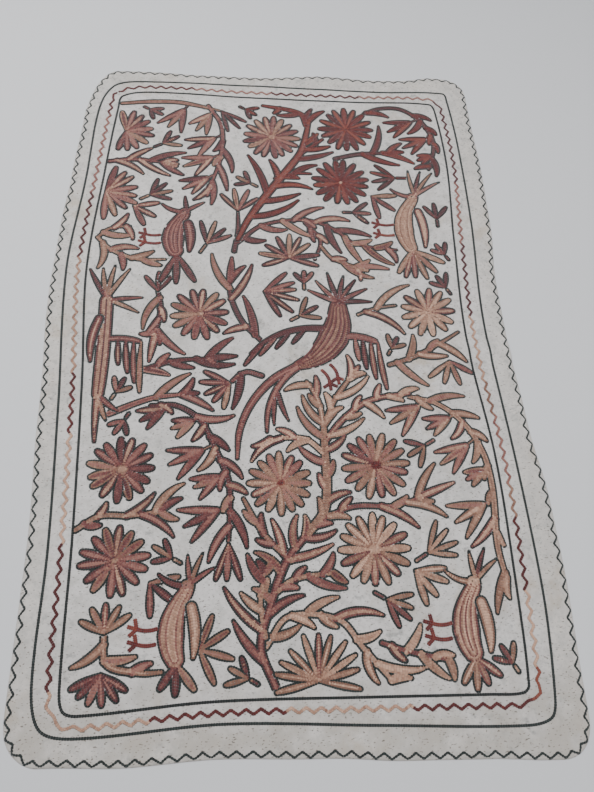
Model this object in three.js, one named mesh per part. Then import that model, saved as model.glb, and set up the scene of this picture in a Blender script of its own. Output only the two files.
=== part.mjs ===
// A hand-felted wool floor rug of the kind called a namda, lying flat on a floor.
// Millimetres, +Z up. The origin is on the floor under the middle of the rug. +Y runs along its length.
// The rug is one sheet of felt: thick, with feathered edges, rounded corners and sides that wander,
// and with a soft ridge across its middle where it was folded for storage.
import * as THREE from "three";
import { mergeGeometries, mergeVertices } from "three/addons/utils/BufferGeometryUtils.js";

// The felt before its sides wander
const HALF_WIDTH = 605;
const HALF_LENGTH = 955;
const FELT_THICKNESS = 5;
const THICKNESS_SWELL = 0.4; // how much thicker or thinner hand felting leaves it
const SWELL_LENGTH = { x: 210, y: 260 }; // from one thick place to the next
const CORNER_RADII = { topLeft: 110, topRight: 65, bottomLeft: 85, bottomRight: 65 };

// The feathered edge: the share of the thickness that is there at each distance in from the edge.
// The underside lies flat right out to the edge, where the top comes down to meet it.
const EDGE_SECTION = [
  { inFromEdge: 0, share: 0 },
  { inFromEdge: 0.8, share: 0.4 },
  { inFromEdge: 5, share: 0.8 },
  { inFromEdge: 14, share: 1 },
];

// How far each side lies outside the plain rectangle, at places along it
const SIDE_DRIFT = {
  left: [
    { along: -880, out: -12 },
    { along: -520, out: -13 },
    { along: -200, out: 1 },
    { along: 140, out: 16 },
    { along: 350, out: 10 },
    { along: 530, out: -3 },
    { along: 770, out: -17 },
    { along: 880, out: -34 },
  ],
  right: [
    { along: -880, out: 8 },
    { along: -600, out: 17 },
    { along: -430, out: 15 },
    { along: -240, out: -4 },
    { along: 0, out: -16 },
    { along: 190, out: -17 },
    { along: 375, out: -1 },
    { along: 600, out: 3 },
    { along: 800, out: -3 },
  ],
  top: [
    { along: -390, out: 3 },
    { along: -250, out: -4 },
    { along: -70, out: -7 },
    { along: 140, out: 10 },
    { along: 300, out: -1 },
    { along: 400, out: 2 },
    { along: 490, out: 20 },
    { along: 560, out: 14 },
  ],
  bottom: [
    { along: -500, out: -6 },
    { along: -360, out: 1 },
    { along: -180, out: -6 },
    { along: 50, out: 3 },
    { along: 220, out: 15 },
    { along: 380, out: 19 },
    { along: 520, out: 28 },
  ],
};

// The ridge where the rug was folded for storage, which fades to nothing at the left side
const FOLD_Y = -16;
const FOLD_SLANT = -0.03; // how far it runs down for each step to the left
const FOLD_HALF_WIDTH = 42;
const FOLD_HEIGHT = 5; // at the right side

// The border outside the stitched field, which takes up all that the sides wander
const BORDER_WIDTH = 120;

// How closely the sheet is divided: in the open, at the ridge, and in from the edges and round the corners
const PITCH = 48;
const FOLD_PITCH = 14;
const EDGE_INSETS = EDGE_SECTION.map((row) => row.inFromEdge);
const CORNER_INSETS = [26, 40, 58, 80];
const FELT_COLOUR = 0xd8d2c8;

const { inverseLerp, lerp, smoothstep } = THREE.MathUtils;

// A value from a table of places along a side, eased from each row to the next
function drift(table, along) {
  const next = table.findIndex((row) => row.along > along);
  if (next === 0) return table[0].out;
  if (next < 0) return table[table.length - 1].out;
  const before = table[next - 1];
  const after = table[next];
  return lerp(before.out, after.out, smoothstep(along, before.along, after.along));
}

// Places from one edge to the other: close together in the feathered edges, then evenly apart
function stations(half, nearEdge) {
  const inner = half - nearEdge[nearEdge.length - 1];
  const count = Math.round((2 * inner) / PITCH);
  const even = Array.from({ length: count + 1 }, (_, i) => -inner + (2 * inner * i) / count);
  const edge = nearEdge.slice(0, -1).map((inset) => half - inset);
  return [...edge.map((place) => -place), ...even, ...edge.reverse()];
}

function radiusAt(x, y) {
  const end = y > 0 ? "top" : "bottom";
  return CORNER_RADII[end + (x > 0 ? "Right" : "Left")];
}

// Half the width of the plain rounded rectangle at a place along its length, on one side
function halfWidthAt(y, side) {
  const radius = radiusAt(side, y);
  const intoCorner = Math.abs(y) - (HALF_LENGTH - radius);
  if (intoCorner <= 0) return HALF_WIDTH;
  return HALF_WIDTH - radius + Math.sqrt(Math.max(0, radius ** 2 - intoCorner ** 2));
}

// How far a point of the plain rounded rectangle lies in from its edge
function distanceIn(x, y) {
  const radius = radiusAt(x, y);
  const beyondX = Math.abs(x) - (HALF_WIDTH - radius);
  const beyondY = Math.abs(y) - (HALF_LENGTH - radius);
  const outside = Math.hypot(Math.max(beyondX, 0), Math.max(beyondY, 0));
  return Math.max(0, radius - outside - Math.min(Math.max(beyondX, beyondY), 0));
}

// The share of the thickness at a distance in from the edge
function edgeShare(inFromEdge) {
  const next = EDGE_SECTION.findIndex((row) => row.inFromEdge > inFromEdge);
  if (next < 0) return 1;
  const before = EDGE_SECTION[next - 1];
  const after = EDGE_SECTION[next];
  const step = inverseLerp(before.inFromEdge, after.inFromEdge, inFromEdge);
  return lerp(before.share, after.share, step);
}

// A round hump of height 1 that has run out at distance 1
function hump(distance) {
  return distance >= 1 ? 0 : Math.cos((distance * Math.PI) / 2) ** 2;
}

// How far the ridge lifts the felt off the floor
function lift(x, y) {
  const across = Math.max(0, inverseLerp(BORDER_WIDTH - HALF_WIDTH, HALF_WIDTH, x));
  return FOLD_HEIGHT * across ** 2 * hump(Math.abs(y - FOLD_Y - FOLD_SLANT * x) / FOLD_HALF_WIDTH);
}

function thickness(x, y) {
  const acrossTurn = (2 * Math.PI * x) / SWELL_LENGTH.x;
  const alongTurn = (2 * Math.PI * y) / SWELL_LENGTH.y;
  return FELT_THICKNESS + THICKNESS_SWELL * Math.sin(acrossTurn) * Math.cos(alongTurn);
}

// How far out in the border a place is: 0 in the field and 1 at the edge
function intoBorder(fromMiddle, half) {
  return smoothstep(Math.abs(fromMiddle), half - BORDER_WIDTH, half);
}

// The place of a point of the plain rectangle once the sides have wandered
function wandered(x, y) {
  const side = drift(x > 0 ? SIDE_DRIFT.right : SIDE_DRIFT.left, y);
  const end = drift(y > 0 ? SIDE_DRIFT.top : SIDE_DRIFT.bottom, x);
  return {
    x: x + Math.sign(x) * side * intoBorder(x, HALF_WIDTH),
    y: y + Math.sign(y) * end * intoBorder(y, HALF_LENGTH),
  };
}

// Places along the length: the even ones, the steps round the corners and the close ones at the ridge
function rows() {
  const foldReach = FOLD_HALF_WIDTH + HALF_WIDTH * Math.abs(FOLD_SLANT);
  const steps = Math.round((2 * foldReach) / FOLD_PITCH);
  const close = Array.from({ length: steps + 1 }, (_, i) => FOLD_Y - foldReach + (2 * foldReach * i) / steps);
  const clear = stations(HALF_LENGTH, [...EDGE_INSETS, ...CORNER_INSETS]).filter(
    (y) => Math.abs(y - FOLD_Y) > foldReach + FOLD_PITCH / 2,
  );
  return [...clear, ...close].sort((a, b) => a - b);
}

// One face of the felt as a grid of points. The top and the underside share the points round the edge.
function face(isTop) {
  const across = stations(HALF_WIDTH, EDGE_INSETS);
  const along = rows();
  const grid = new THREE.PlaneGeometry(1, 1, across.length - 1, along.length - 1);
  const points = grid.getAttribute("position");
  along.forEach((y, row) => {
    across.forEach((plainX, column) => {
      const x = (plainX * halfWidthAt(y, plainX)) / HALF_WIDTH;
      const level = isTop ? thickness(x, y) * edgeShare(distanceIn(x, y)) : 0;
      const place = wandered(x, y);
      // A plane's points run from its top row down, and the underside faces down
      const pointRow = along.length - 1 - row;
      const pointColumn = isTop ? column : across.length - 1 - column;
      points.setXYZ(pointRow * across.length + pointColumn, place.x, place.y, level + lift(place.x, place.y));
    });
  });
  grid.deleteAttribute("normal");
  grid.deleteAttribute("uv");
  return grid;
}

function feltGround() {
  const felt = mergeVertices(mergeGeometries([face(true), face(false)]), 1e-3);
  felt.computeBoundingBox();
  const middle = felt.boundingBox.getCenter(new THREE.Vector3());
  felt.translate(-middle.x, -middle.y, -felt.boundingBox.min.z);
  felt.computeVertexNormals();
  const wool = new THREE.MeshStandardMaterial({ color: FELT_COLOUR, roughness: 0.96, metalness: 0 });
  const mesh = new THREE.Mesh(felt, wool);
  mesh.name = "felt_ground";
  return mesh;
}

const rug = new THREE.Group();
rug.add(feltGround());

export default rug;
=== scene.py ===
# %% [markdown]
# # A namda rug
# A namda is a mat of beaten wool felt, worked all over in chain stitch with birds, flowers and vines.
# The fixed model gives the felt as one plain sheet. This lesson makes that sheet soft and hairy, works
# about fifty thousand stitches on it, dyes the yarns, and sets the rug in a plain studio.

# %% Load the fixed model
import math
import random

import bmesh
import bpy
import numpy as np
from mathutils import Matrix, Vector
from mathutils.bvhtree import BVHTree


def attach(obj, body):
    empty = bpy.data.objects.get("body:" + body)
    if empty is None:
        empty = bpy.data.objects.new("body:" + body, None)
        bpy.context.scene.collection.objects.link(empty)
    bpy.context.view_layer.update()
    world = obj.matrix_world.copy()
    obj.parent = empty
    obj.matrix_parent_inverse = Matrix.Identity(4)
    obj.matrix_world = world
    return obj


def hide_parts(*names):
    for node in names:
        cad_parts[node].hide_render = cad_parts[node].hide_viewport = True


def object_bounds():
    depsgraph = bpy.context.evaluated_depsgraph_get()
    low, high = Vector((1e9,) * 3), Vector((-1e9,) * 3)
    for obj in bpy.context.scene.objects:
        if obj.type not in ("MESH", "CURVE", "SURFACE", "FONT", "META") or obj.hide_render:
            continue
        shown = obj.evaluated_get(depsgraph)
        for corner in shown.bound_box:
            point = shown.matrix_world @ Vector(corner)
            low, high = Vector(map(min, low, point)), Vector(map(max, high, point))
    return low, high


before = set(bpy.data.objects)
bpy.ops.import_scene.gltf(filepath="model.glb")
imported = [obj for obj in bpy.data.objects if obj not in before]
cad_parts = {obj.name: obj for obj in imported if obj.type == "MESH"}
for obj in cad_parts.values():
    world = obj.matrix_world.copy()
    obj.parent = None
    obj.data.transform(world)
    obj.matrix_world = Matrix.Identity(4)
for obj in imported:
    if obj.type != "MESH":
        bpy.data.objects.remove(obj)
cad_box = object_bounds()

MM = 0.001
rug_size = cad_box[1] - cad_box[0]
print("the felt measures", [round(side, 4) for side in rug_size], "m")

# %% [markdown]
# ## The camera
# The rug is seen from above its near end by someone who holds the camera at chest height. The view's
# middle lies a little beside the lens's axis, so the camera gets a small shift.

# %% Set up the camera
FRAME_WIDTH = 594
FRAME_HEIGHT = 792
FOCAL_LENGTH = 600  # in pixels of that frame
AXIS_IN_FRAME = (300, 417)  # where the lens's axis meets the frame
CAMERA_PLACE = Vector((-0.094, -0.764, 1.371))
CAMERA_LOOK = Vector((0.079, 0.373, -0.925))
CAMERA_RIGHT = Vector((0.997, -0.038, 0.07))


def set_camera():
    bpy.ops.object.camera_add(location=CAMERA_PLACE)
    camera = bpy.context.object
    back = -CAMERA_LOOK.normalized()
    right = (CAMERA_RIGHT - CAMERA_RIGHT.dot(back) * back).normalized()
    camera.rotation_euler = Matrix((right, back.cross(right), back)).transposed().to_euler()
    camera.data.lens = camera.data.sensor_width * FOCAL_LENGTH / FRAME_HEIGHT
    camera.data.shift_x = (FRAME_WIDTH / 2 - AXIS_IN_FRAME[0]) / FRAME_HEIGHT
    camera.data.shift_y = (AXIS_IN_FRAME[1] - FRAME_HEIGHT / 2) / FRAME_HEIGHT
    bpy.context.scene.camera = camera
    return camera


camera = set_camera()
print("the lens is", round(camera.data.lens, 1), "mm long")

# %% [markdown]
# ## The drawing
# A namda is drawn on with chalk before it is stitched, and its maker draws by habit: a daisy, a leaf
# spray or a bird is made of the same few strokes each time, turned and stretched to suit its place. So
# each motif here is a function with a few sizes, and short tables say where it goes. The vines are easy
# curves through a few places, and the leaves are then fitted into the room that is left, as the maker
# does. Every stroke is a lobe, which is a smooth curve with a width. Sizes are in millimetres from the
# middle of the rug.

# %% Draw a smooth curve
STEP = 1.5  # between the points of a drawn curve
ARC_STEPS = 4


def places_in(text):
    return [tuple(float(number) for number in place.split(",")) for place in text.split()]


def smooth_path(places, closed=False):
    """Points close together on a curve that passes smoothly through the places."""
    spots = np.array(places, float)
    if closed:
        spots = np.vstack([spots[-1], spots, spots[:2]])
    else:
        spots = np.vstack([2 * spots[0] - spots[1], spots, 2 * spots[-1] - spots[-2]])
    gaps = np.linalg.norm(np.diff(spots, axis=0), axis=1)
    turns = (spots[2:] - spots[:-2]) / (gaps[1:] + gaps[:-1])[:, None]
    curve = []
    for i in range(len(turns) - 1):
        t = np.arange(0, 1, STEP / max(gaps[i + 1], STEP))[:, None]
        start, end = spots[i + 1], spots[i + 2]
        leave, arrive = turns[i] * gaps[i + 1], turns[i + 1] * gaps[i + 1]
        curve.append((2 * t**3 - 3 * t**2 + 1) * start + (t**3 - 2 * t**2 + t) * leave
                     + (3 * t**2 - 2 * t**3) * end + (t**3 - t**2) * arrive)
    if not closed:
        curve.append(spots[-2][None])
    return np.vstack(curve)


def arc(x, y, heading, long, bend=0):
    """Places along a line that leaves a point at a heading and turns by the bend, in degrees."""
    places = [(x, y)]
    for i in range(ARC_STEPS):
        turn = math.radians(heading + bend * (i + 0.5) / ARC_STEPS)
        x += long / ARC_STEPS * math.cos(turn)
        y += long / ARC_STEPS * math.sin(turn)
        places.append((x, y))
    return places


def lengths_along(path):
    return np.concatenate([[0], np.cumsum(np.linalg.norm(np.diff(path, axis=0), axis=1))])


def side_directions(path):
    along = np.gradient(path, axis=0)
    along /= np.maximum(np.linalg.norm(along, axis=1), 1e-6)[:, None]
    return np.stack([-along[:, 1], along[:, 0]], axis=1)


print("a drawn curve has a point every", STEP, "mm")

# %% [markdown]
# A leaf is a broad horn that tapers from its stem to its tip, and a petal is slim at its root and
# widest near its tip. A stem keeps its width, or passes through the widths that are given. So each
# kind is only a way for the half width to change along the drawn curve.

# %% Shape stems, leaves and petals
PROFILES = {  # the share of the full width at even steps from the base to the tip
    "stem": (1, 1, 1, 1, 0.95, 0.8),
    "vine": (1, 1, 1, 1, 1, 1),
    "leaf": (1.0, 1.08, 1.06, 0.94, 0.72, 0.36),
    "petal": (0.52, 0.76, 0.98, 1.06, 0.94, 0.55),
}
FULLNESS = 1.1  # stitching spreads a little past the drawn width


def lobe(kind, widths, places, yarns):
    """One stem, leaf or petal as a curve with a half width at each of its points."""
    path = smooth_path(places)
    along = lengths_along(path)
    share = along / along[-1]
    profile = PROFILES[kind]
    half = np.interp(share, np.linspace(0, 1, len(widths)), widths) / 2 * FULLNESS
    half = half * np.interp(share, np.linspace(0, 1, len(profile)), profile)
    inside = along <= max(along[-1] - half[-1], along[-1] / 2)
    return {"path": path[inside], "half": half[inside], "yarns": yarns}


print("a lobe is a", " or a ".join(PROFILES))

# %% [markdown]
# ## The yarns
# The stitchers change yarn often: most lobes have a darker yarn round their outside and one or two
# lighter ones further in. Each palette names what may go in the first, second and third row, and a
# seeded draw picks for each lobe, so that the rug looks hand worked but comes out the same each time.

# %% Name the yarns and the palettes
YARNS = {  # the family that the yarn belongs to, and its shade from dark 0 to light 1
    "outline": ("dark_green", 0.3),
    "deep_red": ("red", 0.1),
    "red": ("red", 0.4),
    "rust": ("red", 0.85),
    "maroon": ("rose", 0.05),
    "brown_rose": ("rose", 0.45),
    "rose": ("rose", 0.95),
    "brown": ("tan", 0.05),
    "tan": ("tan", 0.45),
    "salmon": ("tan", 0.7),
    "peach": ("tan", 0.88),
}
PALETTES = {
    "red": (("deep_red", "red", "maroon"), ("red", "deep_red", "rust"), ("rust", "brown_rose")),
    "maroon": (("maroon", "brown_rose"), ("brown_rose", "rose", "maroon"), ("rose", "brown")),
    "rose": (("maroon", "brown_rose", "maroon", "brown"), ("brown_rose", "rose", "tan"), ("tan", "rose")),
    "tan": (("brown", "brown_rose", "brown"), ("tan", "rose", "tan"), ("salmon", "peach")),
    "salmon": (("tan", "brown", "brown_rose"), ("salmon", "tan", "salmon"), ("peach", "salmon")),
}
draw = random.Random(7)


def pick_yarns(palette):
    return tuple(draw.choice(choices) for choices in PALETTES[palette])


HAND_TURN = (-4, 4)  # how far off its heading a hand puts a stroke, in degrees
HAND_REACH = (0.9, 1.05)  # how short or long it comes out


def strokes(kind, wide, x, y, long, count, first, last, palette, bend=0):
    """Lobes that spread from one point, from the first heading to the last."""
    lobes = []
    for i in range(count):
        heading = first + (last - first) * i / max(count - 1, 1) + draw.uniform(*HAND_TURN)
        reach = long * draw.uniform(*HAND_REACH)
        lobes.append(lobe(kind, [wide], arc(x, y, heading, reach, bend), pick_yarns(palette)))
    return lobes


print(len(YARNS), "yarns in", len(PALETTES), "palettes")

# %% [markdown]
# ## The grid
# Two questions come up all the time: is this place of the felt still free, and how deep inside a form
# does it lie? A fine grid of cells over the whole field answers both, and numpy fills it quickly.

# %% Lay out the grid
CELL = 1.25
GRID_HALF_X = 560
GRID_HALF_Y = 920
GRID_SHAPE = (int(2 * GRID_HALF_Y / CELL), int(2 * GRID_HALF_X / CELL))

NO_DEPTH = -99
NO_OWNER = -1
depth = np.full(GRID_SHAPE, NO_DEPTH, np.float32)
owner = np.full(GRID_SHAPE, NO_OWNER, np.int16)
heading_in = np.zeros(GRID_SHAPE, np.float32)
covered = np.zeros(GRID_SHAPE, bool)
stitched = np.zeros(GRID_SHAPE, bool)
claimed = np.zeros(GRID_SHAPE, np.int16)  # the number of the plant, bird or flower that holds a cell


def cell_of(points):
    columns = ((points[:, 0] + GRID_HALF_X) / CELL).astype(int)
    rows = ((points[:, 1] + GRID_HALF_Y) / CELL).astype(int)
    return np.clip(rows, 2, GRID_SHAPE[0] - 3), np.clip(columns, 2, GRID_SHAPE[1] - 3)


def window_at(x, y, reach):
    """The part of the grid round a point, and how far each of its cells lies from it."""
    left, right = int((x - reach + GRID_HALF_X) / CELL) - 1, int((x + reach + GRID_HALF_X) / CELL) + 2
    low, high = int((y - reach + GRID_HALF_Y) / CELL) - 1, int((y + reach + GRID_HALF_Y) / CELL) + 2
    xs = (np.arange(left, right) + 0.5) * CELL - GRID_HALF_X - x
    ys = (np.arange(low, high) + 0.5) * CELL - GRID_HALF_Y - y
    return (slice(low, high), slice(left, right)), np.hypot(xs[None, :], ys[:, None])


print("the grid has", GRID_SHAPE[0], "rows and", GRID_SHAPE[1], "columns")

# %% [markdown]
# ## The two dark lines
# Two dark lines frame the field. They run straight along the sides but for a slow wander, and turn in
# tight corners, so each is one closed curve through a few places on each side.

# %% Lay the inner and outer lines
INNER_LINE = places_in("""
-480,850 -490,800 -510,550 -530,220 -510,-120 -495,-500 -490,-800 -480,-845 -450,-855
-180,-840 160,-845 400,-850 475,-850 490,-835 500,-560 500,-320 475,0 485,330 500,600 490,820
475,855 240,855 -100,860 -400,870
""")
OUTER_LINE = places_in("""
-510,890 -545,800 -560,520 -582,220 -560,-180 -545,-520 -545,-800 -520,-878 -450,-895
-160,-882 160,-898 470,-912 528,-900 543,-860 558,-650 550,-330 530,60 545,400 545,700 535,870
525,905 320,902 -100,911 -440,913
""")
inner_line = smooth_path(INNER_LINE, closed=True)
outer_line = smooth_path(OUTER_LINE, closed=True)
EDGE_ROOM = 7  # bare felt inside the inner line
OUT_OF_FIELD = -1
END_OF_FIELD = 828
ROWS_NEAR = 3
line_rows, line_columns = cell_of(inner_line)
for r in range(GRID_SHAPE[0]):
    near = line_columns[np.abs(line_rows - r) <= ROWS_NEAR]
    if not len(near) or abs((r + 0.5) * CELL - GRID_HALF_Y) > END_OF_FIELD:
        claimed[r] = OUT_OF_FIELD
    else:
        claimed[r, :near.min() + int(EDGE_ROOM / CELL)] = OUT_OF_FIELD
        claimed[r, near.max() - int(EDGE_ROOM / CELL):] = OUT_OF_FIELD
print("the inner line is", round(lengths_along(inner_line)[-1] / 1000, 2), "m long")

# %% Claim room on the grid
LEAF_ROOM = 2.8  # bare felt that a leaf leaves on each side
ROOT_LENGTH = 44  # the length of a leaf that may run along its own stem or neighbour
groups = []


def claim(form, plant):
    for (x, y), half in zip(form["path"][::2], form["half"][::2]):
        place, away = window_at(x, y, half + LEAF_ROOM)
        window = claimed[place]
        window[(away < half + LEAF_ROOM) & (window == 0)] = plant


def has_room(form, plant):
    path, half = form["path"], form["half"]
    sides = side_directions(path) * (half + 1)[:, None]
    rooted = lengths_along(path) < ROOT_LENGTH
    for points in (path, path + sides, path - sides):
        held = claimed[cell_of(points)]
        if (held[~rooted] != 0).any() or ((held[rooted] != 0) & (held[rooted] != plant)).any():
            return False
    ahead = path[-1] - path[-3]
    tip = path[-1] + ahead / np.linalg.norm(ahead) * (half[-1] + LEAF_ROOM)
    return claimed[cell_of(tip[None])][0] == 0


def plan(lobes):
    """Enters a connected drawing in the list of what to stitch, and claims its room."""
    groups.append(lobes)
    for form in lobes:
        if "path" in form:
            claim(form, len(groups))
    return lobes


print("the field has", round(np.count_nonzero(claimed == 0) * CELL**2 / 1e6, 2), "square metres to fill")

# %% [markdown]
# ## Birds
# Six birds stand among the vines. A bird is one wide curve from its head down to its rump. The beak,
# crest and tail feathers are lobes that grow out of it. A folded wing lies on the body with an outline
# of its own, so it is stitched first and the body's rows stop at it. Four birds perch in the same way,
# so one function draws them. The tall one at the left and the big one in the middle differ more, so
# each has small tables of its own lobes.

# %% Draw the perching birds
PERCHING_BIRDS = [
    # head's x and y, body's length and width, crest feathers and their length,
    # tail feathers, their length and first and last heading, palette
    (-280, 410, 150, 54, 2, 60, 3, 105, 245, 300, "maroon"),
    (380, 480, 200, 50, 4, 105, 6, 105, 235, 330, "tan"),
    (-240, -610, 165, 50, 3, 70, 3, 66, 232, 308, "rose"),
    (400, -620, 165, 54, 3, 75, 4, 66, 232, 322, "salmon"),
]
BODY_PROFILE = (0.64, 0.76, 1.0, 1.1, 0.98, 0.84)
HEAD_SIZE = 33
BODY_HEADING = (232, 66)  # at the neck, and how far it turns by the rump
NECK = 8  # from the middle of the head down to where the body starts
WING_ROOT = (0.22, 0.26)  # aside as a share of the body's width, and down as a share of its length
WING_SIZE = (0.52, 0.66)  # width and length as shares of the body's
WING_HEADING = (286, -26)
BEAK = ("stem", [18, 15, 9], -12, 2, 172, 62, -42)  # in the columns of a lobe's row, below
CREST_ROOT = (8, 6)
CREST_HEADING = (104, 42)
CREST_WIDTH = 14
CREST_BEND = -12
FEATHER_WIDTH = 20
RUMP = 0.95  # where the tail grows from, as a share of the body's length
EYE_PLACE = (-2, 3)
FOOT_STANCE = (0.5, 0.68)  # where the legs leave the body, as shares of its length
HIP = 0.55  # how far aside, as a share of the body's width
LEG = (200, 46, -40)  # its heading, length and bend
TOE_LENGTH = 20
FOOT_ROOM = 26  # across the toes
eyes = []
legs = []


def point_of(places, share):
    path = smooth_path(places)
    return path[int(share * (len(path) - 1))]


def places_of(row, root):
    """The places of one lobe of a bird: kind, widths, root aside and up, heading, length and bend."""
    kind, widths, aside, up, heading, long, bend = row
    return arc(root[0] + aside, root[1] + up, heading, long, bend)


def grown(row, root, palette):
    return lobe(row[0], row[1], places_of(row, root), pick_yarns(palette))


def head(x, y, size, palette):
    return lobe("vine", [size], [(x, y), (x + 5, y)], pick_yarns(palette))


def add_leg(hip, heading, long, bend):
    """A leg with three toes, and the room that nothing else may take."""
    legs.append(arc(*hip, heading, long, bend))
    foot = arc(*legs[-1][-1], heading + bend, TOE_LENGTH)
    claim(lobe("vine", [FOOT_ROOM], legs[-1] + foot[1:], None), len(groups))


def perching_bird(x, y, long, wide, crest, crest_long, tail, tail_long, tail_first, tail_last, palette):
    body = arc(x, y - NECK, BODY_HEADING[0], long, BODY_HEADING[1])
    shoulder = (x + wide * WING_ROOT[0], y - WING_ROOT[1] * long)
    wing = arc(*shoulder, WING_HEADING[0], WING_SIZE[1] * long, WING_HEADING[1])
    lighter = {"maroon": "rose", "rose": "tan"}.get(palette, palette)
    plan([lobe("leaf", [wide * WING_SIZE[0]], wing, pick_yarns(lighter))])
    lobes = [
        lobe("stem", [wide * share for share in BODY_PROFILE], body, pick_yarns(palette)),
        head(x, y, HEAD_SIZE, palette),
        grown(BEAK, (x, y), palette),
    ]
    crown = (x + CREST_ROOT[0], y + CREST_ROOT[1])
    lobes += strokes("leaf", CREST_WIDTH, *crown, crest_long, crest, *CREST_HEADING, palette, CREST_BEND)
    rump = point_of(body, RUMP)
    lobes += strokes("petal", FEATHER_WIDTH, *rump, tail_long, tail, tail_first, tail_last, palette)
    eyes.append((x + EYE_PLACE[0], y + EYE_PLACE[1]))
    plan(lobes)
    for share in FOOT_STANCE:
        add_leg(point_of(body, share) - (wide * HIP, 0), *LEG)


for row in PERCHING_BIRDS:
    perching_bird(*row)
print(len(groups), "wings and bodies so far")

# %% Draw the tall bird at the left
TALL_HEAD = (-470, 120)
TALL_BIRD = {
    # kind, widths, root aside and up from the head or rump, heading, length, bend
    "wing": ("leaf", [24], -14, -55, 250, 130, 30),
    "body": ("stem", [36], 0, 0, 272, 285, -4),
    "arm": ("stem", [20, 20, 18], 12, -115, 8, 88, -28),
    "tail": ("stem", [24, 18, 12], 0, 0, 268, 125, 6),
}
TALL_PLUMES = {
    # width, root aside and up, length, number, first and last heading, bend
    "crest": (16, 0, 6, 105, 4, 122, 62, -8),
    "beak": (15, 8, 0, 92, 2, 6, -22, -8),
    "tail": (17, 0, 0, 75, 2, 312, 288, 12),
}
TALL_FEATHERS = (4, 78, 145, 270, 17)  # number, shortest, longest, heading and width
TALL_EYE = (-1, 2)
FEATHERS_FROM = 0.3  # where feathers start on a wing's arm, and over what share of it they spread
FEATHERS_OVER = 0.68
FEATHER_TURN = (-3, 3)
FEATHER_BEND = 8


def hang_feathers(arm, count, shortest, longest, heading, wide, palette):
    """Feathers that hang from a wing's arm, longer towards its end."""
    lobes = []
    for i in range(count):
        root = point_of(arm, FEATHERS_FROM + FEATHERS_OVER * i / (count - 1))
        long = shortest + (longest - shortest) * i / (count - 1)
        places = arc(*root, heading + draw.uniform(*FEATHER_TURN), long, FEATHER_BEND)
        lobes.append(lobe("petal", [wide], places, pick_yarns(palette)))
    return lobes


def plume(row, root, palette):
    """Feathers that spread from one point of a bird."""
    wide, aside, up, long, count, first, last, bend = row
    return strokes("leaf", wide, root[0] + aside, root[1] + up, long, count, first, last, palette, bend)


def tall_bird(place, palette):
    body = places_of(TALL_BIRD["body"], place)
    arm = places_of(TALL_BIRD["arm"], place)
    rump = point_of(body, RUMP)
    plan([grown(TALL_BIRD["wing"], place, palette)])
    lobes = [
        grown(TALL_BIRD["body"], place, palette),
        head(*place, HEAD_SIZE, palette),
        grown(TALL_BIRD["arm"], place, palette),
        grown(TALL_BIRD["tail"], rump, palette),
    ]
    lobes += plume(TALL_PLUMES["crest"], place, palette)
    lobes += plume(TALL_PLUMES["beak"], place, palette)
    lobes += hang_feathers(arm, *TALL_FEATHERS, palette)
    lobes += plume(TALL_PLUMES["tail"], rump, palette)
    eyes.append((place[0] + TALL_EYE[0], place[1] + TALL_EYE[1]))
    plan(lobes)


tall_bird(TALL_HEAD, "rose")
print("the tall bird has", len(groups[-1]), "strokes")

# %% Draw the big bird in the middle
BIG_HEAD = (140, 110)
BIG_HEAD_SIZE = 37
BIG_BIRD = {
    # kind, widths, root aside and up from the head or rump, heading, length, bend
    "body": ("stem", [48, 66, 78, 66, 46, 30], -3, -8, 275, 235, -80),
    "left arm": ("stem", [24, 20, 20, 16, 12], -40, -74, 172, 225, 58),
    "right arm": ("stem", [24, 22], 8, -96, 4, 92, -34),
    "long tail": ("stem", [26, 24, 22, 20, 18, 12], 0, 0, 202, 320, 72),
    "short tail": ("stem", [24, 20, 18, 12], 0, 0, 216, 215, 58),
}
BIG_PLUMES = {
    # width, root aside and up, length, number, first and last heading, bend
    "crest": (16, 0, 8, 98, 7, 158, 8, -10),
    "tail": (15, 0, 0, 100, 2, 262, 282, 14),
}
LEFT_FEATHERS = (4, 62, 92, 226, 16)  # number, shortest, longest, heading and width
RIGHT_FEATHERS = (4, 74, 138, 270, 17)
LEFT_ARM_PLACES = 4  # the feathers hang from this many places of the left arm
BIG_RUMP = 0.93
TAIL_FORK = (216, 90, 20)  # heading, length and bend from the rump to where more feathers grow
BIG_EYE = (0, 3)
BIG_STANCE = (0.66, 0.78)
BIG_HIP = (22, -30)
BIG_LEG = (322, 44, -50)


def big_bird(place, palette, lighter):
    body = places_of(BIG_BIRD["body"], place)
    left_arm = places_of(BIG_BIRD["left arm"], place)
    right_arm = places_of(BIG_BIRD["right arm"], place)
    rump = point_of(body, BIG_RUMP)
    lobes = [
        grown(BIG_BIRD["body"], place, palette),
        head(*place, BIG_HEAD_SIZE, palette),
        grown(BIG_BIRD["left arm"], place, palette),
        grown(BIG_BIRD["right arm"], place, lighter),
        grown(BIG_BIRD["long tail"], rump, lighter),
        grown(BIG_BIRD["short tail"], rump, palette),
    ]
    lobes += plume(BIG_PLUMES["crest"], place, palette)
    lobes += hang_feathers(left_arm[:LEFT_ARM_PLACES], *LEFT_FEATHERS, palette)
    lobes += hang_feathers(right_arm, *RIGHT_FEATHERS, lighter)
    lobes += plume(BIG_PLUMES["tail"], arc(*rump, *TAIL_FORK)[-1], palette)
    eyes.append((place[0] + BIG_EYE[0], place[1] + BIG_EYE[1]))
    plan(lobes)
    for share in BIG_STANCE:
        add_leg(point_of(body, share) + BIG_HIP, *BIG_LEG)


big_bird(BIG_HEAD, "maroon", "rose")
print(len(eyes), "birds with", len(legs), "legs")

# %% [markdown]
# ## Daisies and fans
# Eleven big daisies carry the design. Each is a ring of blunt petals round a small heart, a little
# uneven in reach as hand drawing leaves it. A flower seen from the side is the same with part of the
# ring, so the fans come from the same spread of lobes.

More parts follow.
